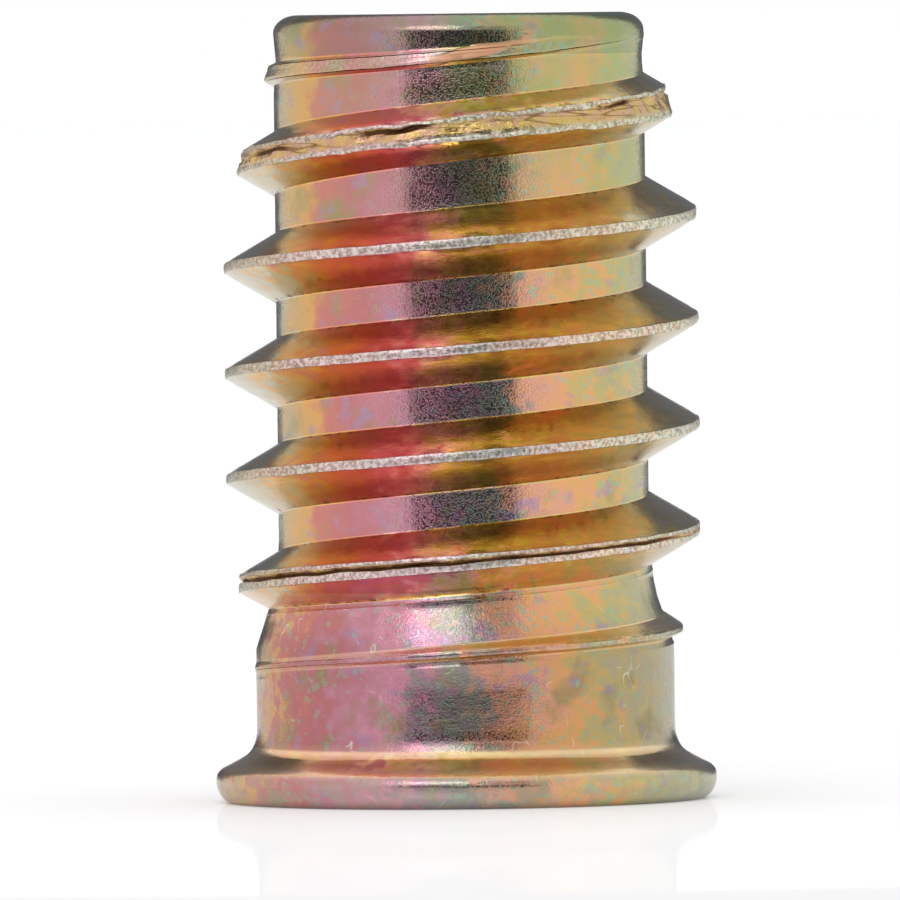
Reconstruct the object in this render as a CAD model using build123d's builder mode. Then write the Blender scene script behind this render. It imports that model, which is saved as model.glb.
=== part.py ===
"""Flanged threaded insert for wood, in millimetres.

A hollow steel plug that is cold formed and thread rolled in one piece. A coarse sharp thread on the
outside bites into a hole drilled in wood. The bore takes an M8 screw. A hexagonal socket in the
flanged end takes the key that drives the insert in, and the thin flange stops it at the surface.

Frame: +Z runs along the bore from the flange to the pilot end. The origin is the centre of the
flange's outer face, on which the insert stands.
"""

import os
from math import ceil, cos, radians, tan

from build123d import *

# Overall sizes
LENGTH = 20.0  # flange face to pilot end
FLANGE_RADIUS = 6.37
ROOT_RADIUS = 4.71  # plain pilot, and the wall between the thread's turns

# Outer thread, right-handed
THREAD_DEPTH = 1.35  # root to crest
THREAD_PITCH = 2.68
THREAD_ANGLE = 60.0  # between the two flanks, in degrees
CREST_FLAT = 0.24  # width of the worn-flat crest
CREST_OVER_X = 1.51  # height of the ridge's first crossing of +X, hidden in the collar
RIDGE_SINK = 0.25  # how far the ridge's foot reaches into the wall, so that the two join

# Run-outs: cones that lower the crest towards both ends
FULL_THREAD_FROM = 6.9  # height at which the thread becomes full
LOWER_RUNOUT_SLOPE = 0.208  # radius lost for each millimetre below that
LOWER_RUNOUT_END = 2.0
UPPER_RUNOUT = 4.8  # length before the pilot end over which the thread is less than full
UPPER_RUNOUT_SLOPE = 0.33
PILOT_LENGTH = 1.4  # plain length past the last trace of thread
PILOT_LEAD = 0.6  # length over which that last trace dies away

# Collar round the socket
COLLAR_STEP = 0.61  # how far the collar stands out from the root
COLLAR_TOP = 3.85
SHOULDER_RISE = 1.75  # height over which the collar tapers to the root

# Flange
RIM_HEIGHT = 0.58  # height of the flange's widest ring
RIM_ROUNDING = 0.40  # how far the rim's lower rounding reaches in
RIM_SHOULDER_INSET = 0.15  # where the rim's upper rounding meets the flange's cone
RIM_SHOULDER_HEIGHT = 0.86
NECK_STEP = 0.24  # how far the flared foot of the collar stands out from it
NECK_HEIGHT = 1.22
FLARE_HEIGHT = 1.78  # where the flare runs out into the collar

# Pilot end
TIP_ROUNDING = 0.62  # radial reach of the rounded outer edge
TIP_ROUNDING_RISE = 0.45

# Drive socket and bore
SOCKET_SIDES = 6
SOCKET_ACROSS_FLATS = 8.0
SOCKET_DEPTH = 4.2
SOCKET_CORNER_ROUNDING = 0.25
SOCKET_LEAD = 0.12  # how far the bevel round the mouth reaches past the corners
SOCKET_LEAD_ANGLE = 30.0  # between that bevel and the flange's face
BORE_RADIUS = 3.35  # the M8 thread's minor radius
BORE_LEAD_ANGLE = 60.0  # between the bore's axis and the cone at the socket's floor
BORE_TIP_BEVEL = 0.35

crest_radius = ROOT_RADIUS + THREAD_DEPTH
collar_radius = ROOT_RADIUS + COLLAR_STEP
ridge_foot = ROOT_RADIUS - RIDGE_SINK
socket_inner_radius = SOCKET_ACROSS_FLATS / 2
socket_corner_radius = socket_inner_radius / cos(radians(180 / SOCKET_SIDES))


def blank_outline():
    """Half section of the blank, without its thread, socket or bore."""
    rim_quarter = EllipticalCenterArc(
        (FLANGE_RADIUS - RIM_ROUNDING, RIM_HEIGHT),
        RIM_ROUNDING,
        RIM_HEIGHT,
        start_angle=270,
        arc_size=90,
    )
    rim_top = TangentArc(
        (FLANGE_RADIUS, RIM_HEIGHT),
        (FLANGE_RADIUS - RIM_SHOULDER_INSET, RIM_SHOULDER_HEIGHT),
        tangent=(0, 1),
    )
    tip_quarter = EllipticalCenterArc(
        (ROOT_RADIUS - TIP_ROUNDING, LENGTH - TIP_ROUNDING_RISE),
        TIP_ROUNDING,
        TIP_ROUNDING_RISE,
        start_angle=0,
        arc_size=90,
    )
    Line((0, 0), rim_quarter @ 0)
    Polyline(
        rim_top @ 1,
        (collar_radius + NECK_STEP, NECK_HEIGHT),
        (collar_radius, FLARE_HEIGHT),
        (collar_radius, COLLAR_TOP),
        (ROOT_RADIUS, COLLAR_TOP + SHOULDER_RISE),
        tip_quarter @ 0,
    )
    Polyline(tip_quarter @ 1, (0, LENGTH), (0, 0))


def runout_outline():
    """Half section of the two cones that the ridge is cut to.

    Both cones pass through the crest where the thread becomes full and go on to meet outside it.
    """
    full_thread_to = LENGTH - UPPER_RUNOUT
    meeting_height = (
        UPPER_RUNOUT_SLOPE * full_thread_to + LOWER_RUNOUT_SLOPE * FULL_THREAD_FROM
    ) / (UPPER_RUNOUT_SLOPE + LOWER_RUNOUT_SLOPE)
    last_trace = LENGTH - PILOT_LENGTH
    lead_height = last_trace - PILOT_LEAD
    Polyline(
        (0, LOWER_RUNOUT_END),
        (crest_radius - LOWER_RUNOUT_SLOPE * (FULL_THREAD_FROM - LOWER_RUNOUT_END), LOWER_RUNOUT_END),
        (crest_radius + LOWER_RUNOUT_SLOPE * (meeting_height - FULL_THREAD_FROM), meeting_height),
        (crest_radius - UPPER_RUNOUT_SLOPE * (lead_height - full_thread_to), lead_height),
        (ridge_foot, last_trace),
        (0, last_trace),
        close=True,
    )


# The outer thread: one ridge of trapezoidal section, swept up a helix and cut to its run-outs.
half_crest = CREST_FLAT / 2
half_foot = half_crest + (crest_radius - ridge_foot) * tan(radians(THREAD_ANGLE / 2))
ridge_rise = THREAD_PITCH * ceil((LENGTH - CREST_OVER_X) / THREAD_PITCH)  # whole turns, past the run-out

with BuildPart() as outer_thread:
    with BuildLine() as ridge_path:
        Helix(THREAD_PITCH, ridge_rise, ROOT_RADIUS, center=(0, 0, CREST_OVER_X))
    with BuildSketch(Plane.XZ):
        with BuildLine():
            Polyline(
                (ridge_foot, CREST_OVER_X - half_foot),
                (crest_radius, CREST_OVER_X - half_crest),
                (crest_radius, CREST_OVER_X + half_crest),
                (ridge_foot, CREST_OVER_X + half_foot),
                close=True,
            )
        make_face()
    sweep(path=ridge_path.line, is_frenet=True)
    with BuildSketch(Plane.XZ):
        with BuildLine():
            runout_outline()
        make_face()
    revolve(axis=Axis.Z, mode=Mode.INTERSECT)

# The insert: the blank with its thread, then the socket and the bore.
with BuildPart() as threaded_insert:
    with BuildSketch(Plane.XZ):
        with BuildLine():
            blank_outline()
        make_face()
    revolve(axis=Axis.Z)
    add(outer_thread.part)

    with BuildSketch(Plane.XY) as socket_outline:
        RegularPolygon(socket_corner_radius, SOCKET_SIDES)
        fillet(socket_outline.vertices(), SOCKET_CORNER_ROUNDING)
    extrude(amount=SOCKET_DEPTH, mode=Mode.SUBTRACT)

    bore_lead_rise = (socket_inner_radius - BORE_RADIUS) / tan(radians(BORE_LEAD_ANGLE))
    mouth_radius = socket_corner_radius + SOCKET_LEAD
    mouth_rise = mouth_radius * tan(radians(SOCKET_LEAD_ANGLE))
    with BuildSketch(Plane.XZ):
        with BuildLine():
            Polyline((0, 0), (mouth_radius, 0), (0, mouth_rise), close=True)
        make_face()
        with BuildLine():
            Polyline(
                (0, SOCKET_DEPTH),
                (socket_inner_radius, SOCKET_DEPTH),
                (BORE_RADIUS, SOCKET_DEPTH + bore_lead_rise),
                (BORE_RADIUS, LENGTH - BORE_TIP_BEVEL),
                (BORE_RADIUS + BORE_TIP_BEVEL, LENGTH),
                (0, LENGTH),
                close=True,
            )
        make_face()
    revolve(axis=Axis.Z, mode=Mode.SUBTRACT)

threaded_insert.part.label = "threaded_insert"
os.makedirs("parts", exist_ok=True)
export_step(threaded_insert.part, "parts/threaded_insert.step")
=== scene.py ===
# %% [markdown]
# # A flanged threaded insert
#
# This lesson builds the looks of a small steel insert that is screwed into furniture wood. It was cold
# formed, thread rolled and zinc plated, and the plating was passivated, which leaves a film so thin that
# it shows the colours of a soap bubble. The exact solid comes from the CAD frame. The steps here add what
# the solid leaves out: the torn crests, the fading ends of the thread, the screw thread in the bore, and
# the coloured metal.

# %% Load the frame
import math

import bpy
import numpy as np
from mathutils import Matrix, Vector


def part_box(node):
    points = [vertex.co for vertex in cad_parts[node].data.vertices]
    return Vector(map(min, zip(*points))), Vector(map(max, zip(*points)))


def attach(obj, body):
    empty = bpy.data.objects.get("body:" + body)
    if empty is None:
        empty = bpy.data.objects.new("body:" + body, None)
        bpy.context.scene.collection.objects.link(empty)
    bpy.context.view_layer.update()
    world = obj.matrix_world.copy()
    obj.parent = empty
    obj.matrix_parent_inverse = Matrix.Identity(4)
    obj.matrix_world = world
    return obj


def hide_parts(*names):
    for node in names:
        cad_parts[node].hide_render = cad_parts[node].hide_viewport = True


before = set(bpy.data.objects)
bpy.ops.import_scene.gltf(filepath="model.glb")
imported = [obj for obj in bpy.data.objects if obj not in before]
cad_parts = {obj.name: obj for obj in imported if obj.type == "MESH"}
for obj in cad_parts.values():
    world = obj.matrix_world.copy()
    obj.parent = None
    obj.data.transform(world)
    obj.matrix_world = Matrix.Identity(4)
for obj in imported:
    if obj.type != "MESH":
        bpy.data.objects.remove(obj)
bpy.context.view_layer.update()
MM = 0.001
low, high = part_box("threaded_insert")
length = (high.z - low.z) / MM
flange_radius = (high.x - low.x) / 2 / MM
print(f"insert {length:.2f} mm long, flange radius {flange_radius:.2f} mm")

# %% [markdown]
# ## Small irregularities
#
# Rolled metal is never quite even. Every wavering edge below is a sum of sine waves whose lengths and
# phases come from a seeded generator. A sum of sines has no seam, costs little, and gives the same edge
# each time the script runs.


# %% A wavering line
def waver(seed, where, slowest, fastest, waves=14):
    """Smooth noise between about -1 and 1 at each place, with waves between two frequencies."""
    rng = np.random.default_rng(seed)
    total = np.zeros_like(where, dtype=float)
    for _ in range(waves):
        frequency = slowest * (fastest / slowest) ** rng.random()
        total += np.sin(2 * math.pi * (frequency * where + rng.random()))
    return total / math.sqrt(waves)


print("waver spread", round(float(waver(1, np.linspace(0, 9, 999), 1, 20).std()), 2))

# %% [markdown]
# ## The shape round the axis
#
# Below its thread the insert is a turned shape: a rounded flange, a flared neck and a collar that tapers
# into the root of the thread. A turned shape needs only its half section, a short list of radii and
# heights. Quarter ellipses give the rounded edges. The section is kept as rings, because rings join
# cleanly to the thread's grid later.

# %% Half sections
COLLAR_RADIUS = 5.32
ROOT_RADIUS = 4.71
RIM_HEIGHT = 0.58
RIM_ROUNDING = 0.4
TIP_ROUNDING = 0.62
TIP_ROUNDING_RISE = 0.45


def quarter(centre_r, centre_z, reach, rise, start, steps):
    """Points on a quarter of an ellipse, from a start angle in degrees."""
    angles = np.radians(start + np.linspace(0, 90, steps + 1))
    return [(centre_r + reach * math.cos(a), centre_z + rise * math.sin(a)) for a in angles]


rim = quarter(flange_radius - RIM_ROUNDING, RIM_HEIGHT, RIM_ROUNDING, RIM_HEIGHT, 270, 9)
flange_section = rim + [
    (flange_radius - 0.02, 0.70),
    (flange_radius - 0.07, 0.78),
    (flange_radius - 0.15, 0.86),
    (6.02, 0.965),
    (5.78, 1.09),
    (5.60, 1.195),
    (5.55, 1.235),
    (5.47, 1.32),
    (5.40, 1.45),
    (5.35, 1.60),
    (5.325, 1.76),
    (COLLAR_RADIUS, 1.95),
    (COLLAR_RADIUS, 2.2),
    (COLLAR_RADIUS, 2.45),
    (COLLAR_RADIUS, 2.7),
]
tip_section = quarter(
    ROOT_RADIUS - TIP_ROUNDING, length - TIP_ROUNDING_RISE, TIP_ROUNDING, TIP_ROUNDING_RISE, 0, 8
)
print(len(flange_section), "flange rings,", len(tip_section), "tip rings")

# %% [markdown]
# ## The wall under the thread
#
# The ridge of the thread stands on the collar, on the taper above it and on the plain root. The thread's
# rows therefore need one number at every height: the radius of the wall below them. A short list of
# heights and radii gives it, with straight lines between them. The small dip near the pilot end is the neck
# that the rolling die leaves.

# %% Radius of the wall under the thread
WALL_SECTION = (
    (2.9, 5.32),
    (3.6, 5.32),
    (3.84, 5.335),
    (4.05, 5.27),
    (4.25, 5.2),
    (4.76, 5.03),
    (5.03, 4.93),
    (5.3, 4.86),
    (5.6, 4.81),
    (6.1, 4.75),
    (6.6, 4.71),
    (18.0, 4.71),
    (18.5, 4.68),
    (18.85, 4.65),
    (19.15, 4.68),
    (19.4, 4.715),
    (19.6, 4.71),
)
WALL_HEIGHTS, WALL_RADII = zip(*WALL_SECTION)


def wall_radius(z):
    """The wall's own radius at each height, without the thread."""
    return np.interp(z, WALL_HEIGHTS, WALL_RADII)


print("wall at 4.5 mm:", round(float(wall_radius(4.5)), 3))

# %% [markdown]
# ## The rolled thread
#
# A rolling die squeezes a groove into the blank, and the metal rises on both sides of it. Where two
# neighbouring grooves are deep enough the two rising lips close into one flat crest. At both ends of the
# thread the grooves are shallower, so the lips stay apart with an open seam between them, which is the
# typical mark of a rolled thread. The crest is therefore described by two lips that follow the helix.
# Their places, radii and the seam's depth are given at a few quarter turns and blended between them.

# %% Lips of the crest, turn by turn
PITCH = 2.68
FIRST_CREST = 1.51
FLANK_SLOPE = math.tan(math.radians(30))
LIP_HALF_WIDTH = 0.05
LIP_STATIONS = (  # turns, lower lip's place, upper lip's place, lower lip's radius, upper lip's radius
    (0, 0.76, 0.82, 5.0, 5.0),
    (0.5, 0.52, 0.58, 5.36, 5.36),
    (0.75, 0.35, 0.41, 5.43, 5.43),
    (1.0, 0.08, 0.16, 5.56, 5.55),
    (1.25, -0.08, 0.10, 5.66, 5.63),
    (1.5, -0.16, 0.20, 5.74, 5.73),
    (1.75, -0.15, 0.14, 5.92, 5.92),
    (2.0, -0.09, 0.09, 6.02, 6.02),
    (2.3, -0.07, 0.07, 6.03, 6.03),
    (4.8, -0.07, 0.07, 6.03, 6.03),
    (5.0, -0.08, 0.08, 6.02, 6.02),
    (5.25, -0.16, 0.14, 5.86, 5.84),
    (5.5, -0.26, 0.20, 5.65, 5.56),
    (5.75, -0.05, 0.44, 5.56, 5.42),
    (6.0, -0.15, 0.50, 5.44, 5.25),
    (6.25, -0.36, 0.25, 5.20, 5.05),
    (6.5, -0.55, -0.30, 4.93, 4.86),
    (6.62, -0.66, -0.46, 4.87, 4.80),
    (6.75, -0.76, -0.62, 4.74, 4.72),
    (7, -0.72, -0.58, 4.70, 4.68),
    (8, -0.7, -0.56, 4.5, 4.5),
)
lip_turns, lower_lip, upper_lip, lower_lip_radius, upper_lip_radius = zip(*LIP_STATIONS)
seam_turns = (0, 1.25, 1.4, 1.6, 1.8, 1.97, 2.05, 2.3, 4.9, 5.2, 5.5, 5.9, 6.2, 6.45, 8)
seam_depth = (0, 0.0, 0.12, 0.15, 0.11, 0.04, 0.0, 0.0, 0.0, 0.06, 0.08, 0.10, 0.06, 0.0, 0)
seam_place_turns = (0, 4.9, 5.5, 5.8, 8)
seam_place = (0.5, 0.5, 0.6, 0.82, 0.82)


def blend(turns, knots, values, ease=0.06):
    """Values between knots, averaged over a short way so that no corner shows at a knot."""
    eased = np.interp(turns, knots, values)
    for shift in (-ease, ease):
        eased = eased + np.interp(turns + shift, knots, values)
    return eased / 3


print(len(lip_turns), "stations along", lip_turns[-1], "turns")

# %% [markdown]
# ## One pitch of the thread
#
# Going up the wall, one pitch passes the root, the lower flank, the lower lip, the seam, the upper lip and
# the upper flank. The next helper lists these as rows, each with its offset from the crest line and its
# radius, at any number of turns at once. Lips and seam waver, and where the lips are torn apart they waver
# more. The flanks stay smooth, because the die pressed them. Each row also says how much crest, seam or fold
# it is. The material reads these three masks later.

# %% Section of the outer thread
ROOT_STEPS = 2
FLANK_STEPS = 5
LEAST_FOOT = 0.10  # the shortest foot of a flank
FOOT_GUESS = 0.6  # how far from a lip its flank meets the wall, roughly
FULL_HEIGHT = 0.6  # from this height on, a ridge counts as full in the masks
FLANK_PALING = 0.6  # how much of the fold's mask is gone at the top of a flank
FINE_LINES = ((0.20, 0.004), (0.16, 0.018), (0.11, 0.003), (0.04, 0.010))  # below the first turn


def outer_rows(turns):
    """Rows of one pitch: offsets from the crest line, radii, and masks for crest, seam and fold."""
    low_at = blend(turns, lip_turns, lower_lip)
    high_at = blend(turns, lip_turns, upper_lip)
    low_r = blend(turns, lip_turns, lower_lip_radius)
    high_r = blend(turns, lip_turns, upper_lip_radius)
    crest_z = FIRST_CREST + PITCH * turns
    gap = high_at - low_at
    half = np.minimum(LIP_HALF_WIDTH, gap * 0.3)
    low_stand = low_r - wall_radius(crest_z + low_at - FOOT_GUESS)
    high_stand = high_r - wall_radius(crest_z + high_at + FOOT_GUESS)
    low_foot = low_at - half - np.maximum(LEAST_FOOT, low_stand * FLANK_SLOPE)
    high_foot = high_at + half + np.maximum(LEAST_FOOT, high_stand * FLANK_SLOPE)
    rolled = np.clip((turns - 0.4) / 0.2, 0, 1) * np.clip((2.3 - turns) / 0.2, 0, 1)
    low_wall = wall_radius(crest_z + low_foot)
    high_wall = wall_radius(crest_z + high_foot)
    stands_out = np.clip((low_r - low_wall) / FULL_HEIGHT, 0.0, 1.0)
    depth = blend(turns, seam_turns, seam_depth)
    loose = np.clip(depth / 0.08, 0, 1)
    torn = loose * np.clip((turns - 5.0) / 0.5, 0, 1)
    opened = 1 + torn * (np.clip(0.25 + 0.9 * waver(9, turns, 2, 12), 0.0, 1.3) - 1)
    depth = depth * opened
    split = loose * np.clip(opened, 0.35, 1)

    # The lips waver, the flanks below them stay smooth
    low_edge = low_at + (0.006 + 0.012 * torn) * waver(2, turns, 8, 60)
    high_edge = high_at + (0.006 + 0.016 * torn) * waver(3, turns, 8, 60)
    low_top = low_r + (0.006 + 0.014 * torn) * waver(4, turns, 6, 60)
    high_top = high_r + (0.006 + 0.016 * torn) * waver(5, turns, 6, 60)
    seam_at = low_edge + (high_edge - low_edge) * np.interp(turns, seam_place_turns, seam_place)
    seam_at = seam_at + 0.06 * gap * waver(6, turns, 4, 30)
    seam_half = np.minimum(0.006 + loose * (0.003 + 0.018 * np.abs(waver(7, turns, 5, 40))), gap * 0.1)
    uneven_depth = np.maximum(depth * (1 + 0.4 * waver(8, turns, 4, 40)), 0)
    seam_r = np.minimum(low_top, high_top) + 0.004 - uneven_depth
    none = np.zeros_like(turns)
    one = np.ones_like(turns)
    rows = []

    def row(at, radius, crest=none, seam=none, fold=none):
        radius = np.maximum(radius, wall_radius(crest_z + at))
        rows.append((at, radius, crest * stands_out, seam, fold * stands_out))

    for step in range(ROOT_STEPS):
        at = -PITCH / 2 + (low_foot - 0.21 + PITCH / 2) * step / ROOT_STEPS
        row(at, wall_radius(crest_z + at))
    for below, raised in FINE_LINES:
        row(low_foot - below, wall_radius(crest_z + low_foot - below) + raised * rolled)
    row(low_foot, low_wall + 0.006, fold=one)
    for step in range(1, FLANK_STEPS):
        share = step / FLANK_STEPS
        at = low_foot + (low_at - half - low_foot) * share
        row(at, low_wall + (low_r - low_wall) * share, fold=1 - FLANK_PALING * share * one)
    round_off = 0.035 * np.clip(gap / 0.14, 0.3, 1)
    row(low_at - half - 0.5 * round_off, low_r - 1.6 * round_off, fold=0.4 * one)
    row(low_edge - half, low_top - 0.5 * round_off, crest=one, fold=0.2 * one)
    row(low_edge + 0.2 * half, low_top, crest=one)
    for share in (0.4, 0.8):
        at = low_edge + half + (seam_at - seam_half - low_edge - half) * share
        bulge = low_top + (np.minimum(low_top, high_top) - low_top) * share
        bulge = bulge + torn * 0.03 * waver(int(10 + 10 * share), turns, 8, 50)
        row(at, bulge, crest=one * (1 - 0.75 * torn), seam=0.35 * torn)
    row(seam_at - seam_half, seam_r, crest=one, seam=split)
    row(seam_at + seam_half, seam_r, crest=one, seam=split)
    row(high_edge - 0.2 * half, high_top, crest=one)
    row(high_edge + half, high_top - 0.5 * round_off, crest=one, fold=0.2 * one)
    row(high_at + half + 0.5 * round_off, high_r - 1.6 * round_off, fold=0.4 * one)
    for step in range(FLANK_STEPS - 1, 0, -1):
        share = step / FLANK_STEPS
        at = high_foot + (high_at + half - high_foot) * share
        row(at, high_wall + (high_r - high_wall) * share, fold=1 - FLANK_PALING * share * one)
    row(high_foot, high_wall + 0.006, fold=one)
    row(high_foot + 0.04, wall_radius(crest_z + high_foot + 0.04))
    at = (high_foot + 0.04 + PITCH / 2) / 2
    row(at, wall_radius(crest_z + at))
    return [np.stack(column) for column in zip(*rows)]


print("rows in one pitch:", len(outer_rows(np.zeros(1))[0]))

# %% [markdown]
# ## A skin that follows the helix
#
# A grid of level rings would cut across the slanting crests and leave them jagged. Here the grid's rows
# climb with the helix instead, so each crest edge is a row of its own and stays sharp with few faces. The
# last column of one turn joins the first column of the next. At the two ends the slanting rows are cut
# off by level rings, which the turned parts can join.


# %% The helical skin
def helical_skin(columns, pitch, start, span, rows_of, points, faces):
    """Adds the skin between two level rings. Returns the rings' vertex numbers and each vertex's masks.

    rows_of(turns) gives offsets from the crest line, radii and masks. The rings take their radii from it.
    """
    bottom, top = span
    count = len(rows_of(np.zeros(1))[0])
    first_turn = math.floor((bottom - start) / pitch) - 2
    last_turn = math.ceil((top - start) / pitch) + 2
    masks = []
    column_rows = []
    rings = ([], [])
    for column in range(columns):
        angle = 2 * math.pi * column / columns
        turns = np.arange(first_turn, last_turn) + column / columns
        offsets, radii, *marks = rows_of(turns)
        heights = (start + pitch * turns + offsets).T.ravel()
        radii = radii.T.ravel()
        marks = [mark.T.ravel() for mark in marks]
        step = 0.3 * pitch / count
        inside = np.nonzero((heights > bottom + step) & (heights < top - step))[0]
        where = {}
        for number in inside:
            where[int(number)] = len(points)
            radius = radii[number]
            points.append((radius * math.cos(angle), radius * math.sin(angle), heights[number]))
            masks.append([float(mark[number]) for mark in marks])
        column_rows.append((int(inside[0]), int(inside[-1]), where))
        for ring, level in zip(rings, span):
            radius = float(np.interp(level, heights, radii))
            ring.append(len(points))
            points.append((radius * math.cos(angle), radius * math.sin(angle), level))
            masks.append([0.0] * len(marks))
    for column in range(columns):
        following = (column + 1) % columns
        shift = count if following == 0 else 0
        left_low, left_high, left = column_rows[column]
        right_low, right_high, right = column_rows[following]
        right_low -= shift
        right_high -= shift
        lowest = max(left_low, right_low)
        highest = min(left_high, right_high)
        for number in range(lowest, highest):
            faces.append((left[number], right[number + shift], right[number + 1 + shift], left[number + 1]))
        faces.append(
            [rings[0][column], rings[0][following]]
            + [right[number + shift] for number in range(right_low, lowest + 1)]
            + [left[number] for number in range(lowest, left_low - 1, -1)]
        )
        faces.append(
            [rings[1][following], rings[1][column]]
            + [left[number] for number in range(left_high, highest - 1, -1)]
            + [right[number + shift] for number in range(highest, right_high + 1)]
        )
    return rings, masks


print("helical skin is ready")

# %% [markdown]
# ## Rings and bridges
#
# The turned parts are level rings of points, one above the other, with a band of faces between each two.
# The outside needs many columns and the bore needs few, so a band may also join a ring to one with fewer
# points. That saves faces on the inside, where nobody looks closely.


# %% Rings and bridges
def ring_points(section_point, columns, points, shape=None):
    """A level ring. shape(angle) may replace its round outline and gives radius and height."""
    radius, height = section_point
    ring = []
    for column in range(columns):
        angle = 2 * math.pi * column / columns
        r, z = shape(angle) if shape else (radius, height)
        ring.append(len(points))
        points.append((r * math.cos(angle), r * math.sin(angle), z))
    return ring


def bridge(ring_a, ring_b, faces):
    """Faces between two rings, whose counts may differ by a whole factor."""
    if len(ring_a) < len(ring_b):
        ring_a, ring_b = ring_b, ring_a
    factor = len(ring_a) // len(ring_b)
    for column, inner in enumerate(ring_b):
        following = ring_b[(column + 1) % len(ring_b)]
        outer = [ring_a[(column * factor + step) % len(ring_a)] for step in range(factor + 1)]
        faces.append([inner, *outer, following])


print("rings and bridges are ready")

# %% [markdown]
# ## The bore and the drive socket
#
# The bore takes an M8 screw, so it carries a real thread with a 1.25 mm pitch. The flanged end has a
# hexagonal socket with a bevelled mouth and a cone at its floor. Both are the inner side of the same piece
# of metal, so they join the outer skin at the flange's face and at the pilot end, and the piece is one
# closed body.

# %% Sections of the bore and socket
BORE_PITCH = 1.25
BORE_RADIUS = 3.35
BORE_MAJOR_RADIUS = 3.98
BORE_SPAN = (4.6, 19.6)
BORE_FADE = 0.9  # height over which the bore's thread starts and ends
SOCKET_ACROSS_FLATS = 8.0
SOCKET_CORNER_RADIUS = 4.58
SOCKET_DEPTH = 4.2
MOUTH_RADIUS = 4.74
MOUTH_ANGLE = 30


def bore_rows(turns):
    """Rows of one pitch of the M8 thread: a flat land, a flank, a root and a flank."""
    offsets = np.array([-0.16, 0.0, 0.16, 0.35, 0.54, 0.70, 0.89])
    depth_share = np.array([0, 0, 0, 0.5, 1, 1, 0.5])
    at = np.repeat(offsets[:, None], len(turns), 1)
    z = at + BORE_SPAN[0] + BORE_PITCH * turns
    fade = np.clip((z - BORE_SPAN[0]) / BORE_FADE, 0, 1) * np.clip((BORE_SPAN[1] - z) / BORE_FADE, 0, 1)
    radii = BORE_RADIUS + (BORE_MAJOR_RADIUS - BORE_RADIUS) * depth_share[:, None] * fade
    nothing = np.zeros_like(at)
    return at, radii, nothing, nothing, nothing


def hexagon(angle):
    """Radius of the socket's outline. Its corners are slightly rounded."""
    within = (angle + math.pi / 6) % (math.pi / 3) - math.pi / 6
    flat = SOCKET_ACROSS_FLATS / 2 / math.cos(math.pi / 6 - abs(within))
    return min(flat, SOCKET_CORNER_RADIUS)


def mouth(angle):
    """The socket's edge where the bevel round its mouth meets the flats."""
    radius = hexagon(angle)
    return radius, (MOUTH_RADIUS - radius) * math.tan(math.radians(MOUTH_ANGLE))


print("socket corner radius", round(hexagon(0.0), 3), "mm")

# %% [markdown]
# ## One closed body
#
# The real insert is a single piece of steel, so the mesh is a single closed skin. It is put together in the
# order in which a finger would follow it: up the outside from the flange's face to the pilot end, and back
# through the socket and the bore. All parts share one list of points, which joins them without gaps.

# %% The outside
COLUMNS = 360
INNER_COLUMNS = 120
THREAD_ZONE = (2.9, 19.42)
points, faces = [], []
skin_rings, marks = helical_skin(COLUMNS, PITCH, FIRST_CREST, THREAD_ZONE, outer_rows, points, faces)


def join_rings(chain):
    """Bands of faces between all neighbours in a list of rings."""
    for one, two in zip(chain, chain[1:]):
        bridge(one, two, faces)


flange_chain = [ring_points(spot, COLUMNS, points) for spot in flange_section] + [skin_rings[0]]
join_rings(flange_chain)
underside_ring = ring_points((MOUTH_RADIUS, 0.0), INNER_COLUMNS, points)
bridge(flange_chain[0], underside_ring, faces)
tip_chain = [skin_rings[1]] + [ring_points(spot, COLUMNS, points) for spot in tip_section]
join_rings(tip_chain)
print(len(points), "points outside")

# %% The socket and the bore
SOCKET_LEVELS = (1.0, 2.1, 3.2, SOCKET_DEPTH)
AXIS = (0, 0)
socket_chain = [underside_ring, ring_points(AXIS, INNER_COLUMNS, points, mouth)]
for level in SOCKET_LEVELS:
    socket_chain.append(ring_points(AXIS, INNER_COLUMNS, points, lambda a, z=level: (hexagon(a), z)))
socket_chain.append(ring_points((3.99, SOCKET_DEPTH + 0.005), INNER_COLUMNS, points))
socket_chain.append(ring_points((BORE_RADIUS + 0.02, 4.56), INNER_COLUMNS, points))
join_rings(socket_chain)

bore_rings, _ = helical_skin(INNER_COLUMNS, BORE_PITCH, BORE_SPAN[0], BORE_SPAN, bore_rows, points, faces)
bridge(socket_chain[-1], bore_rings[0], faces)
bevel_ring = ring_points((3.70, length), INNER_COLUMNS, points)
bridge(bore_rings[1], bevel_ring, faces)
bridge(tip_chain[-1], bevel_ring, faces)
print(len(points), "points and", len(faces), "faces")

# %% [markdown]
# ## From points to a mesh
#
# The lists become a mesh in metres. Blender turns the faces' normals outwards and cuts every face into
# triangles, so that the shape is the same in every program. Shading is smooth, except along edges that turn
# by more than 24 degrees: the foot of each flank and the edges of the crest are real edges and stay crisp.


# %% Make the mesh
SHARP_FROM = 24


def make_piece(name, points, faces):
    """A closed, smooth-shaded mesh in metres, with sharp edges kept where faces turn by much."""
    mesh = bpy.data.meshes.new(name)
    mesh.from_pydata([tuple(c * MM for c in p) for p in points], [], [tuple(f) for f in faces])
    mesh.validate()
    piece = bpy.data.objects.new(name, mesh)
    bpy.context.scene.collection.objects.link(piece)
    bpy.context.view_layer.objects.active = piece
    piece.select_set(True)
    bpy.ops.object.mode_set(mode="EDIT")
    bpy.ops.mesh.select_all(action="SELECT")
    bpy.ops.mesh.normals_make_consistent(inside=False)
    bpy.ops.mesh.quads_convert_to_tris(quad_method="BEAUTY", ngon_method="BEAUTY")
    bpy.ops.object.mode_set(mode="OBJECT")
    mesh.shade_smooth()
    mesh.set_sharp_from_angle(angle=math.radians(SHARP_FROM))
    return piece


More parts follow.
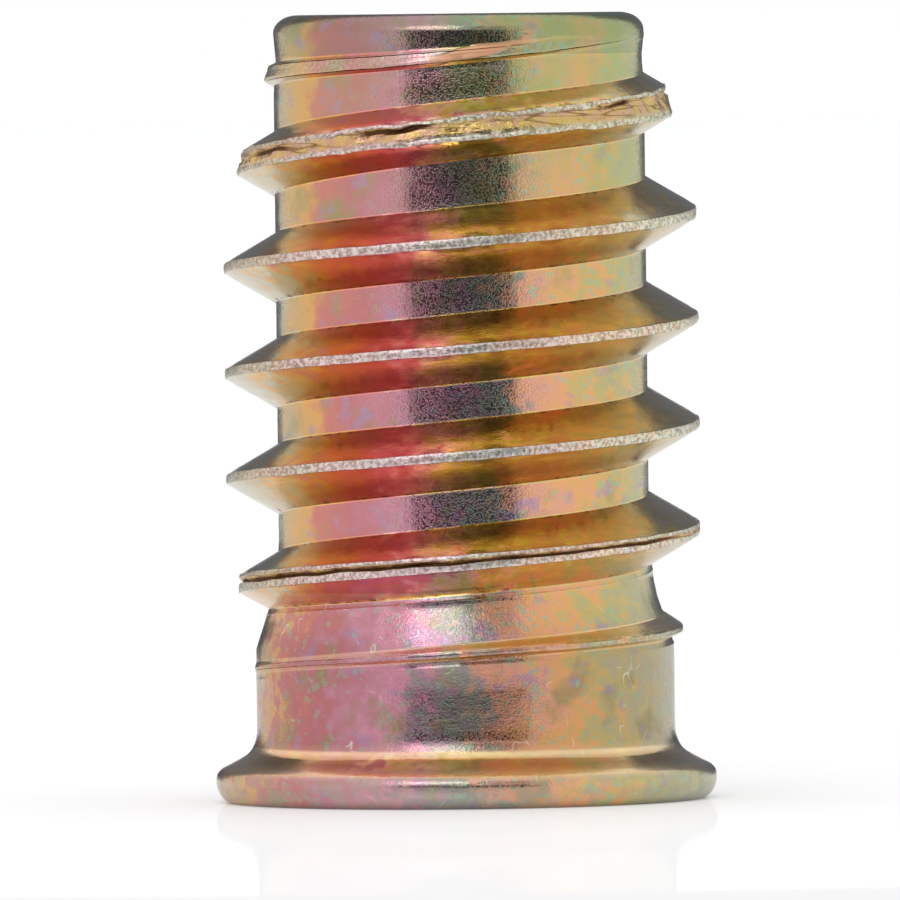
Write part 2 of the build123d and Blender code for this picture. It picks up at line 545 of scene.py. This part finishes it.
insert = make_piece("insert_body", points, faces)
open_edges = len(insert.data.edges) * 2 - sum(len(p.vertices) for p in insert.data.polygons)
print(len(insert.data.polygons), "triangles, open edges:", open_edges)

# %% [markdown]
# ## Masks and the place in the frame
#
# The three masks are stored on the mesh's points, where a material can read them by name. The flared neck
# above the flange is a fold too, so it gets its own soft mask. Then the piece takes the place of the plain
# CAD solid and rides on the body that the solid belongs to.

# %% Masks on the mesh
NECK_AT = 1.16
NECK_BELOW, NECK_ABOVE = 0.32, 0.24
where = np.array(points)
from_neck = np.abs(where[:, 2] - NECK_AT) / np.where(where[:, 2] < NECK_AT, NECK_BELOW, NECK_ABOVE)
# The neck's mask also brings the flanks' painted shade and painted highlight into the hollow above the
# flange.
neck_fold = np.clip(1.25 - from_neck, 0, 1) * (np.hypot(where[:, 0], where[:, 1]) > 5.3)
for number, name in enumerate(("crest", "seam", "fold")):
    layer = insert.data.attributes.new(name, "FLOAT", "POINT")
    values = neck_fold.astype(np.float32) if name == "fold" else np.zeros(len(where), np.float32)
    values[: len(marks)] = [mark[number] for mark in marks]
    layer.data.foreach_set("value", values)
    print(name, "covers", round(float((values > 0.5).mean()) * 100, 1), "% of the points")

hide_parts("threaded_insert")
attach(insert, "root")

# %% [markdown]
# ## The colours of the plating
#
# The yellow passivation on the zinc is a clear film about as thick as a wavelength of light. A thin film
# looks gold, a thicker one pink, then violet, green and gold again. The material therefore has one field,
# the film's thickness, and one ramp that turns thickness into colour. The thickness changes slowly round
# the insert, because parts lie against each other in the bath, and it has finer clouds on top. All of it
# is worked out in the object's own coordinates, so the colours stay on the metal.


# %% Node helper
def add_node(tree, kind, settings=None, **inputs):
    """Adds a shader node. An input may be a plain value or another node's output."""
    node = tree.nodes.new(kind)
    for key, value in (settings or {}).items():
        setattr(node, key, value)
    for key, value in inputs.items():
        socket = node.inputs[int(key[1:])] if key[0] == "_" else node.inputs[key.replace("_", " ")]
        if isinstance(value, bpy.types.NodeSocket):
            tree.links.new(value, socket)
        else:
            socket.default_value = value
    return node


print("node helper is ready")


# %% Maths, ramps and mixes
def calculate(tree, operation, *values, clamp=False):
    """A Math node's output."""
    inputs = {f"_{number}": value for number, value in enumerate(values)}
    settings = {"operation": operation, "use_clamp": clamp}
    return add_node(tree, "ShaderNodeMath", settings, **inputs).outputs[0]


def ramp(tree, factor, stops):
    """A colour ramp's output. Stops are (position, grey) or (position, (red, green, blue))."""
    node = add_node(tree, "ShaderNodeValToRGB", _0=factor)
    elements = node.color_ramp.elements
    while len(elements) < len(stops):
        elements.new(0.5)
    for element, (position, colour) in zip(elements, stops):
        element.position = position
        element.color = (*colour, 1) if isinstance(colour, tuple) else (colour, colour, colour, 1)
    return node.outputs["Color"]


def mix(tree, factor, first, second, kind="MIX"):
    """A colour mix's output."""
    settings = {"data_type": "RGBA", "blend_type": kind}
    return add_node(tree, "ShaderNodeMix", settings, _0=factor, _6=first, _7=second).outputs[2]


def screen(red, green, blue):
    """A colour as seen on a screen, from 0 to 255, turned into the linear values that shaders use."""
    shares = [value / 255 for value in (red, green, blue)]
    return tuple(share / 12.92 if share < 0.0431 else ((share + 0.055) / 1.055) ** 2.4 for share in shares)


print("screen grey 128 is", round(screen(128, 128, 128)[0], 3))

# %% [markdown]
# ## Where a point is on the insert
#
# Everything in the finish depends on where a point lies, so the material starts by working that out: its
# place in millimetres, its height, and how far round it is from the left side (0) to the right side (1).
# The object's own coordinates stay with the metal when it moves or is seen from elsewhere.

# %% Start the plated steel
steel = bpy.data.materials.new("plated_steel")
steel.use_nodes = True
tree = steel.node_tree
tree.nodes.clear()
metres = add_node(tree, "ShaderNodeTexCoord").outputs["Object"]
spot = add_node(tree, "ShaderNodeVectorMath", {"operation": "SCALE"}, _0=metres, Scale=1 / MM).outputs[0]


def stretched(along):
    """The place in millimetres, multiplied along x, y and z."""
    return add_node(tree, "ShaderNodeVectorMath", {"operation": "MULTIPLY"}, _0=spot, _1=along).outputs[0]


outward = add_node(tree, "ShaderNodeVectorMath", {"operation": "NORMALIZE"}, _0=stretched((1, 1, 0)))
side = add_node(tree, "ShaderNodeSeparateXYZ", _0=outward.outputs[0]).outputs[0]
around = calculate(tree, "MULTIPLY_ADD", side, 0.5, 0.5)
across, depthwise, height = add_node(tree, "ShaderNodeSeparateXYZ", _0=spot).outputs
tenth = calculate(tree, "MULTIPLY", height, 0.1)
low_part = calculate(tree, "LESS_THAN", height, 5.4)
print("coordinates use", len(tree.nodes), "nodes")


# %% Noise and masks
def noise(scale, detail=2.0, where=spot, offset=0.0):
    """Noise with so many lumps in a millimetre. The offset picks another part of the same noise."""
    shift = {"_0": where, "_1": (offset, offset, offset)}
    moved = add_node(tree, "ShaderNodeVectorMath", {"operation": "ADD"}, **shift).outputs[0]
    return add_node(tree, "ShaderNodeTexNoise", Vector=moved, Scale=scale, Detail=detail).outputs[0]


def masked(name):
    """A mask that is stored on the mesh."""
    return add_node(tree, "ShaderNodeAttribute", {"attribute_name": name}).outputs["Fac"]


crest = masked("crest")
seam = masked("seam")
fold = masked("fold")
print("the mesh carries", len(insert.data.attributes), "attributes, three of them masks")

# %% [markdown]
# ## The open wall
#
# On the wall between the turns the film grew freely. Its thickness follows the way round, with slow waves
# and finer clouds added. The right side and the collar are busier, because drops dried there. The palette
# lists the film's colours from thin to thick, as they are seen on bright zinc.

# %% Film thickness
busy = ramp(tree, around, ((0.0, 0.1), (0.4, 0.35), (0.6, 1.0), (1.0, 1.0)))
busy = calculate(tree, "MAXIMUM", busy, calculate(tree, "MULTIPLY", low_part, 0.7))
film = calculate(tree, "MULTIPLY_ADD", noise(0.5), 0.18, -0.09)
cloud = calculate(tree, "MULTIPLY_ADD", noise(2.2, 3.0, offset=7.0), 0.9, -0.45)
film = calculate(tree, "ADD", around, film)
film = calculate(tree, "MULTIPLY_ADD", low_part, 0.07, film)
film = calculate(tree, "MULTIPLY_ADD", cloud, calculate(tree, "MULTIPLY", busy, 0.6), film)
print("film thickness uses", len(tree.nodes), "nodes so far")

# %% Colours of the open wall
OPEN_COLOURS = (
    (0.00, screen(182, 174, 144)),
    (0.03, screen(202, 166, 108)),
    (0.085, screen(218, 166, 102)),
    (0.12, screen(204, 132, 118)),
    (0.22, screen(192, 124, 126)),
    (0.34, screen(200, 142, 156)),
    (0.41, screen(214, 152, 168)),
    (0.46, screen(178, 142, 158)),
    (0.56, screen(150, 156, 142)),
    (0.64, screen(220, 164, 142)),
    (0.73, screen(226, 168, 130)),
    (0.83, screen(226, 172, 112)),
    (0.91, screen(196, 180, 118)),
    (1.00, screen(182, 176, 138)),
)
open_colour = ramp(tree, film, OPEN_COLOURS)
print(len(OPEN_COLOURS), "colours on the open wall")

# %% [markdown]
# ## Stains and drops
#
# Rinse water leaves olive and violet stains, a greenish tint where it ran off last, and small drops with a
# paler middle and a green ring. Each is a colour mixed in where a noise of its own is high. The drops are
# the cells of a Voronoi texture, because cells are round and never overlap.

# %% Stains
stain = ramp(tree, noise(0.9, 4.0, offset=31.0), ((0.55, 0.0), (0.68, 0.75)))
open_colour = mix(tree, stain, open_colour, (*screen(158, 150, 104), 1))
violet = ramp(tree, noise(1.6, 3.0, offset=41.0), ((0.60, 0.0), (0.70, 0.6)))
open_colour = mix(tree, violet, open_colour, (*screen(168, 146, 176), 1))
upper = ramp(tree, calculate(tree, "MULTIPLY", tenth, 0.5), ((0.62, 0.0), (0.86, 1.0)))
upper = calculate(tree, "MULTIPLY", upper, busy)
green = ramp(tree, noise(0.8, 3.0, offset=111.0), ((0.35, 0.3), (0.60, 0.9)))
upper = calculate(tree, "MULTIPLY", upper, green)
open_colour = mix(tree, upper, open_colour, (*screen(172, 178, 116), 1))
print("stains: olive, violet and green")

# %% Drops
cells = add_node(tree, "ShaderNodeTexVoronoi", Vector=spot, Scale=4.6).outputs["Distance"]
drop = ramp(tree, cells, ((0.08, 0.1), (0.22, 1.0), (0.32, 1.0), (0.40, 0.0)))
chosen = ramp(tree, noise(1.3, 1.0, offset=21.0), ((0.5, 0.0), (0.56, 1.0)))
drop = calculate(tree, "MULTIPLY", drop, calculate(tree, "MULTIPLY", chosen, busy))
drop = calculate(tree, "MULTIPLY", drop, 0.62)
open_colour = mix(tree, drop, open_colour, (*screen(142, 192, 160), 1))
print("about", round(1 / 4.6, 2), "mm from drop to drop")

# %% [markdown]
# ## Rubbed ends
#
# The rim and the collar touch everything else in the box, so they are rubbed duller than the thread. A
# multiplied tint dulls them without hiding the film's colours. The last millimetre of the pilot end came
# out cooler.

# %% Rim, collar and pilot end
rim_mask = ramp(tree, tenth, ((0.07, 0.55), (0.10, 0.0)))
rubbed = ramp(tree, noise(2.6, 4.0, offset=61.0), ((0.42, 0.2), (0.6, 1.0)))
rubbed = calculate(tree, "MULTIPLY", rim_mask, rubbed)
open_colour = mix(tree, rubbed, open_colour, (*screen(166, 162, 144), 1))
collar = ramp(tree, tenth, ((0.09, 0.0), (0.12, 1.0), (0.39, 1.0), (0.47, 0.3), (0.54, 0.1)))
ends = mix(tree, collar, (1, 1, 1, 1), (0.80, 0.75, 0.77, 1))
pilot = calculate(tree, "GREATER_THAN", height, 18.95)
ends = mix(tree, pilot, ends, (0.72, 0.80, 0.84, 1))
open_colour = mix(tree, 1.0, open_colour, ends, kind="MULTIPLY")
print("open wall uses", len(tree.nodes), "nodes so far")

# %% [markdown]
# ## Flanks and roots
#
# In a groove the metal mirrors itself, so light bounces twice and every colour is doubled: gold turns to
# orange and pink to red. The palettes of the flanks are paler to allow for that. There is one for the film
# on a flank and one for the root, and the fold's mask goes from one to the other. The root's palette is
# darker, which is painted shade in the corner at the root. Both palettes hold a painted highlight near the
# middle, and the flank's palette holds a painted reflection of the bright floor at the outline.

# %% Colours of the flanks, with painted highlight and painted reflection
# Stops 0.43 and 0.50 are a painted highlight near the middle of the way from left to right. The pale stops
# at both ends are a painted reflection of the bright floor along the outline.
FLANK_COLOURS_WITH_PAINTED_LIGHT = (
    (0.00, screen(214, 206, 178)),
    (0.05, screen(222, 196, 150)),
    (0.11, screen(244, 184, 96)),
    (0.20, screen(240, 154, 132)),
    (0.34, screen(240, 148, 162)),
    (0.43, screen(255, 206, 200)),
    (0.50, screen(253, 216, 160)),
    (0.59, screen(230, 212, 112)),
    (0.70, screen(238, 180, 136)),
    (0.82, screen(224, 202, 128)),
    (0.93, screen(214, 184, 128)),
    (1.00, screen(206, 196, 160)),
)
mottle = calculate(tree, "MULTIPLY_ADD", busy, 0.55, 0.35)
mottled = calculate(tree, "SUBTRACT", noise(2.2, 3.0, offset=25.0), 0.5)
fold_place = calculate(tree, "MULTIPLY_ADD", mottled, mottle, film)
flank_film_and_painted_light = ramp(tree, fold_place, FLANK_COLOURS_WITH_PAINTED_LIGHT)
flank_film_and_painted_light = mix(tree, calculate(tree, "MULTIPLY", low_part, 0.6), flank_film_and_painted_light, (*screen(252, 220, 176), 1))
print(len(FLANK_COLOURS_WITH_PAINTED_LIGHT), "colours on the flanks")

# %% Colours towards the root, with painted shade and painted highlight
# Darker than the flank's palette: painted shade in the corner at the root. Stops 0.41 and 0.49 are a painted
# highlight near the middle of the way from left to right.
ROOT_COLOURS_WITH_PAINTED_LIGHT = (
    (0.00, screen(190, 168, 110)),
    (0.08, screen(190, 146, 62)),
    (0.22, screen(196, 138, 92)),
    (0.32, screen(206, 138, 128)),
    (0.41, screen(255, 222, 158)),
    (0.49, screen(250, 212, 112)),
    (0.60, screen(198, 172, 92)),
    (0.85, screen(200, 162, 106)),
    (1.00, screen(190, 172, 116)),
)
root_shade_place = calculate(tree, "MULTIPLY_ADD", mottled, calculate(tree, "MULTIPLY", mottle, 0.5), film)
root_film_and_painted_light = ramp(tree, root_shade_place, ROOT_COLOURS_WITH_PAINTED_LIGHT)
red_patch = ramp(tree, noise(1.5, 3.0, offset=121.0), ((0.50, 0.0), (0.62, 0.6)))
red_patch = calculate(tree, "MULTIPLY", red_patch, busy)
root_film_and_painted_light = mix(tree, red_patch, root_film_and_painted_light, (*screen(206, 138, 112), 1))
print(len(ROOT_COLOURS_WITH_PAINTED_LIGHT), "colours towards the root")

# %% Flanks and open wall together
# The root's painted shade and painted highlight are strongest at the foot of each flank.
root_shade_share = ramp(tree, fold, ((0.5, 0.0), (0.75, 0.6), (1.0, 1.0)))
# The root's painted shade is kept off the outline, where the pale painted reflection of the floor shows.
root_shade_off_outline = ramp(tree, around, ((0.0, 0.1), (0.06, 1.0), (0.94, 1.0), (1.0, 0.1)))
root_shade_share = calculate(tree, "MULTIPLY", root_shade_share, root_shade_off_outline)
fold_colour = mix(tree, calculate(tree, "MULTIPLY", root_shade_share, 0.8), flank_film_and_painted_light, root_film_and_painted_light)
turned = stretched((0.12, 0.12, 1))
streak = ramp(tree, noise(6.0, 4.0, where=turned), ((0.3, 0.84), (0.7, 1.0)))
fold_colour = mix(tree, 1.0, fold_colour, streak, kind="MULTIPLY")
colour = mix(tree, ramp(tree, fold, ((0.0, 0.0), (0.3, 1.0))), open_colour, fold_colour)
print("flanks use", len(tree.nodes), "nodes so far")

# %% [markdown]
# ## Crests, torn band and cracks
#
# The crests were never touched by the die. They are coarse, and they rub against other inserts, so the film
# is gone in grains of pale bare metal, and the brightest grains are painted glints. The dark flecks on the
# crests are a painted reflection of the dark cards. Where the lips parted, a band of raw, crumpled metal
# lies between them, with cracks in it. Painted shade darkens the cracks and, in specks, the corners at the
# root. It is painted dark brown rather than black.

# %% Worn crests, with painted glints and painted dark flecks
grain = noise(11.0, 3.0)
# Pale bare metal where the film is gone, and painted glints in the brightest grains.
worn_and_glints = ramp(tree, grain, ((0.38, screen(160, 152, 140)), (0.60, screen(248, 245, 238))))
worn_and_glints = mix(tree, 0.35, worn_and_glints, open_colour)
worn_and_glints = mix(tree, 1.0, worn_and_glints, ramp(tree, around, ((0.0, 0.66), (0.2, 1.0))), kind="MULTIPLY")
# Painted reflection: dark flecks that stand for the dark cards mirrored in the rough crest.
painted_reflection_fleck = ramp(tree, noise(8.0, 3.0, offset=13.0), ((0.58, 0.0), (0.66, 0.6)))
worn_and_glints = mix(tree, painted_reflection_fleck, worn_and_glints, (*screen(120, 112, 92), 1))
colour = mix(tree, calculate(tree, "MULTIPLY", crest, 0.9), colour, worn_and_glints)
print("crests use", len(tree.nodes), "nodes so far")

# %% Torn band
RAW_COLOURS = ((0.4, screen(212, 176, 96)), (0.6, screen(206, 160, 128)))
band = ramp(tree, seam, ((0.1, 0.0), (0.3, 0.8)))
colour = mix(tree, band, colour, ramp(tree, noise(3.0, 4.0, offset=71.0), RAW_COLOURS))
print("torn band uses", len(tree.nodes), "nodes so far")

# %% Painted shade in the cracks and the root corners
speck = ramp(tree, noise(5.0, 4.0, offset=3.0), ((0.54, 0.0), (0.60, 0.9)))
root_corner_shade = calculate(tree, "MULTIPLY", ramp(tree, fold, ((0.93, 0.0), (1.0, 1.0))), speck)
root_corner_shade = calculate(tree, "MULTIPLY", root_corner_shade, calculate(tree, "GREATER_THAN", height, 2.0))
crack_shade = ramp(tree, seam, ((0.5, 0.0), (0.9, 0.95)))
tear_line_shade = calculate(tree, "SUBTRACT", noise(2.2, 2.0, where=turned, offset=17.0), 0.5)
tear_line_shade = ramp(tree, calculate(tree, "ABSOLUTE", tear_line_shade), ((0.0, 0.9), (0.02, 0.0)))
crack_shade = calculate(tree, "MAXIMUM", crack_shade, calculate(tree, "MULTIPLY", tear_line_shade, band))
painted_shade = calculate(tree, "MAXIMUM", root_corner_shade, crack_shade)
# Painted shade in dark brown: in the cracks, along the tear lines of the band and in specks at the root
# corners.
colour = mix(tree, painted_shade, colour, (*screen(92, 60, 34), 1))
print("cracks and specks use", len(tree.nodes), "nodes so far")

# %% [markdown]
# ## Scratches and a flake
#
# A few fine pale scratches lie on the collar. A thin wandering line is where a slow noise crosses its middle
# value, and a second noise breaks the line into short pieces. Above the last trace of the thread the die
# smeared a flake of metal flat over the pilot. It is a slanting strip with a ragged edge, duller than the
# wall round it.

# %% Scratches
crossing = calculate(tree, "ABSOLUTE", calculate(tree, "SUBTRACT", noise(1.1, 1.0, offset=81.0), 0.5))
scratch = ramp(tree, crossing, ((0.0, 1.0), (0.006, 0.0)))
broken = ramp(tree, noise(1.7, 2.0, offset=91.0), ((0.55, 0.0), (0.6, 1.0)))
scratch = calculate(tree, "MULTIPLY", calculate(tree, "MULTIPLY", scratch, broken), low_part)
colour = mix(tree, calculate(tree, "MULTIPLY", scratch, 0.6), colour, (*screen(226, 222, 204), 1))
print("scratches use", len(tree.nodes), "nodes so far")

# %% Flake over the pilot
FLAKE_HEIGHT = 18.93
FLAKE_SLANT = 0.20
lean = calculate(tree, "MULTIPLY_ADD", across, FLAKE_SLANT, FLAKE_HEIGHT)
lean = calculate(tree, "SUBTRACT", height, lean)
ragged = calculate(tree, "MULTIPLY_ADD", noise(1.8, 4.0, where=turned, offset=101.0), 1.0, -0.5)
flake = calculate(tree, "ABSOLUTE", calculate(tree, "ADD", lean, ragged))
flake = ramp(tree, flake, ((0.12, 1.0), (0.16, 0.0)))
stretch = calculate(tree, "MULTIPLY_ADD", across, 0.1, 0.5)
stretch = ramp(tree, stretch, ((0.41, 0.0), (0.46, 1.0), (0.66, 1.0), (0.70, 0.0)))
flake = calculate(tree, "MULTIPLY", flake, stretch)
flake = calculate(tree, "MULTIPLY", flake, calculate(tree, "LESS_THAN", depthwise, 0.0))
colour = mix(tree, calculate(tree, "MULTIPLY", flake, 0.85), colour, (*screen(226, 172, 136), 1))
print("flake at", FLAKE_HEIGHT, "mm")

# %% [markdown]
# ## Gloss and relief
#
# Bright zinc is glossy with cloudy patches, and it is rougher on the crests, on the flake and in the cracks.
# The relief adds up what is too fine to model: lengthwise grain, shallow pits, rolling lines round the
# collar, slow dents, the coarse crests and the crumpled band. One bump node turns the sum into normals.

# %% Gloss
gloss = calculate(tree, "MULTIPLY_ADD", noise(2.3, 4.0, offset=11.0), 0.18, 0.07)
gloss = calculate(tree, "MULTIPLY_ADD", crest, 0.2, gloss)
gloss = calculate(tree, "MULTIPLY_ADD", flake, 0.35, gloss)
gloss = calculate(tree, "MULTIPLY_ADD", painted_shade, 0.3, gloss, clamp=True)
print("roughness runs from 0.07 upwards")

# %% Relief
RELIEF_HEIGHT = 0.0045 * MM
lines = calculate(tree, "MULTIPLY", noise(11.0, 3.0, where=turned), low_part)
pits = ramp(tree, noise(19.0, 3.0, offset=51.0), ((0.48, 0.0), (0.60, 1.0)))
pits = calculate(tree, "MULTIPLY", pits, calculate(tree, "SUBTRACT", 1.0, fold, clamp=True))
lengthwise = noise(9.0, 4.0, where=stretched((1, 1, 0.16)))
relief = calculate(tree, "MULTIPLY_ADD", lengthwise, 0.6, calculate(tree, "MULTIPLY", grain, 0.5))
relief = calculate(tree, "MULTIPLY_ADD", pits, 0.45, relief)
relief = calculate(tree, "MULTIPLY_ADD", lines, 0.45, relief)
relief = calculate(tree, "MULTIPLY_ADD", noise(1.2, 2.0, offset=5.0), 2.5, relief)
relief = calculate(tree, "MULTIPLY_ADD", calculate(tree, "MULTIPLY", crest, grain), 4.0, relief)
crumpled = calculate(tree, "MULTIPLY", band, noise(4.5, 4.0, offset=15.0))
relief = calculate(tree, "MULTIPLY_ADD", crumpled, 22.0, relief)
relief = calculate(tree, "MULTIPLY_ADD", flake, 5.0, relief)
bump = add_node(tree, "ShaderNodeBump", Height=relief, Distance=RELIEF_HEIGHT, Strength=1.0).outputs[0]
print("one step of relief is", round(RELIEF_HEIGHT / MM, 4), "mm")

# %% Finish the plated steel
surface = {"Base_Color": colour, "Metallic": 1.0, "Roughness": gloss, "Normal": bump}
shader = add_node(tree, "ShaderNodeBsdfPrincipled", **surface)
add_node(tree, "ShaderNodeOutputMaterial", Surface=shader.outputs[0])
insert.data.materials.append(steel)
print("plated steel uses", len(tree.nodes), "nodes")

# %% [markdown]
# ## World and floor
#
# Bright metal shows its surroundings, so a studio for metal is mostly white. The white world lights
# everything evenly. The floor is matt white with a faint gloss, and it keeps the shadow. A little glow of
# its own lifts it to the white of the background, so that no horizon shows.

# %% White world
world = bpy.data.worlds.new("white_studio")
bpy.context.scene.world = world
world.use_nodes = True
background = world.node_tree.nodes["Background"]
background.inputs["Color"].default_value = (1, 1, 1, 1)
background.inputs["Strength"].default_value = 1.0
print("world strength", background.inputs["Strength"].default_value)

# %% Floor
FLOOR_REACH = 3.0
FLOOR_GLOSS = 0.17
FLOOR_GLOW = 0.125
floor_corners = [(x * FLOOR_REACH, y * FLOOR_REACH, 0) for x, y in ((-1, -1), (1, -1), (1, 1), (-1, 1))]
floor_mesh = bpy.data.meshes.new("floor")
floor_mesh.from_pydata(floor_corners, [], [(0, 1, 2, 3)])
floor = bpy.data.objects.new("floor", floor_mesh)
bpy.context.scene.collection.objects.link(floor)
floor_material = bpy.data.materials.new("white_floor")
floor_material.use_nodes = True
floor_tree = floor_material.node_tree
floor_tree.nodes.clear()
matt = add_node(floor_tree, "ShaderNodeBsdfDiffuse", Color=(0.88, 0.88, 0.885, 1))
faint = add_node(floor_tree, "ShaderNodeBsdfAnisotropic", Color=(0.9, 0.93, 1.0, 1), Roughness=0.06)
both = add_node(floor_tree, "ShaderNodeMixShader", _0=FLOOR_GLOSS, _1=matt.outputs[0], _2=faint.outputs[0])
lift = add_node(floor_tree, "ShaderNodeEmission", Color=(1, 1, 1, 1), Strength=FLOOR_GLOW)
lit = add_node(floor_tree, "ShaderNodeAddShader", _0=both.outputs[0], _1=lift.outputs[0])
add_node(floor_tree, "ShaderNodeOutputMaterial", Surface=lit.outputs[0])
floor_mesh.materials.append(floor_material)
print("floor reaches", FLOOR_REACH, "m each way")

# %% [markdown]
# ## Cards
#
# In a white room bright metal would look flat. Dark cards give it something to mirror. A card on the
# camera's side draws the crisp dark patch down the middle, its foot on the floor does the same for the
# faces that look down, and cards behind the insert draw the thin dark lines along its outline. Only the
# metal sees them: they cast no shadow and the camera doesn't see them.


# %% A curved card
def card(name, from_angle, to_angle, inner, outer, shade):
    """A curved card. Angles are in degrees round the insert, 0 towards the camera and positive to +X.

    inner and outer are its two edges as (distance, height) in metres.
    """
    mesh = bpy.data.meshes.new(name)
    steps = 24
    corners = []
    for angle in np.radians(np.linspace(from_angle, to_angle, steps + 1)):
        for distance, height in (inner, outer):
            corners.append((distance * math.sin(angle), -distance * math.cos(angle), height))
    mesh.from_pydata(corners, [], [(2 * s, 2 * s + 2, 2 * s + 3, 2 * s + 1) for s in range(steps)])
    piece = bpy.data.objects.new(name, mesh)
    bpy.context.scene.collection.objects.link(piece)
    material = bpy.data.materials.new(name)
    material.use_nodes = True
    tree = material.node_tree
    tree.nodes.clear()
    glow = add_node(tree, "ShaderNodeEmission", Color=(*shade, 1), Strength=1.0)
    add_node(tree, "ShaderNodeOutputMaterial", Surface=glow.outputs[0])
    mesh.materials.append(material)
    piece.visible_camera = False
    piece.visible_diffuse = False
    piece.visible_shadow = False
    print(name, "from", from_angle, "to", to_angle, "degrees")


# %% Dark cards
CARD_DISTANCE = 0.25
NEAR_BLACK = (0.065, 0.058, 0.068)
SLATE = (0.10, 0.11, 0.14)
LIGHTER_SLATE = (0.16, 0.17, 0.20)
MID_GREY = (0.50, 0.47, 0.48)
card("front_card", -33, 33, (CARD_DISTANCE, 0.0), (CARD_DISTANCE, 0.07), NEAR_BLACK)
card("front_floor_card", -33, 33, (0.045, 0.0003), (CARD_DISTANCE, 0.0003), NEAR_BLACK)
card("left_rear_card", 185, 208, (CARD_DISTANCE, 0.0), (CARD_DISTANCE, 0.145), SLATE)
card("right_rear_card", 152, 175, (CARD_DISTANCE, 0.0), (CARD_DISTANCE, 0.145), SLATE)
card("high_rear_card", 145, 215, (CARD_DISTANCE, 0.03), (CARD_DISTANCE, 0.22), LIGHTER_SLATE)
card("high_front_card", 2, 33, (CARD_DISTANCE, 0.09), (CARD_DISTANCE, 0.24), MID_GREY)

# %% [markdown]
# ## Lamp
#
# One softbox, high and a little to the left, adds the soft highlight on the shoulder. It is weak, because
# the white world does most of the lighting and the colours should render as they are written.

# %% Lamp
lamp_data = bpy.data.lights.new("softbox", "AREA")
lamp_data.shape = "RECTANGLE"
lamp_data.size = 0.16
lamp_data.size_y = 0.13
lamp_data.energy = 0.125
softbox = bpy.data.objects.new("softbox", lamp_data)
bpy.context.scene.collection.objects.link(softbox)
lamp_turn, lamp_rise, lamp_distance = math.radians(-17), math.radians(36), 0.33
softbox.location = lamp_distance * Vector(
    (
        math.cos(lamp_rise) * math.sin(lamp_turn),
        -math.cos(lamp_rise) * math.cos(lamp_turn),
        math.sin(lamp_rise),
    )
)
softbox.rotation_euler = (Vector((0, 0, 0.01)) - softbox.location).to_track_quat("-Z", "Y").to_euler()
print("softbox at", [round(c, 3) for c in softbox.location])

# %% [markdown]
# ## Camera
#
# A long lens far away keeps the outline almost flat, so pitch and slant of the thread can be compared along
# the whole length. The camera stands level with the pilot end and looks slightly down. It is rolled by less
# than a degree, so the insert leans a trace to one side.

# %% Camera
CAMERA_DISTANCE = 0.48
CAMERA_ROLL = -0.65
camera_data = bpy.data.cameras.new("camera")
camera_data.lens = 755
camera_data.sensor_width = 36
camera_data.clip_start = 0.05
camera_data.clip_end = 20
camera = bpy.data.objects.new("camera", camera_data)
bpy.context.scene.collection.objects.link(camera)
camera.location = (0, -CAMERA_DISTANCE, high.z)
aim = Vector((-0.33 * MM, 0, 8.9 * MM))
camera.rotation_euler = (aim - camera.location).to_track_quat("-Z", "Y").to_euler()
camera.rotation_euler.rotate_axis("Z", math.radians(CAMERA_ROLL))
bpy.context.scene.camera = camera
bpy.context.scene.view_settings.view_transform = "Standard"
print("camera", round(CAMERA_DISTANCE * 1000), "mm away")
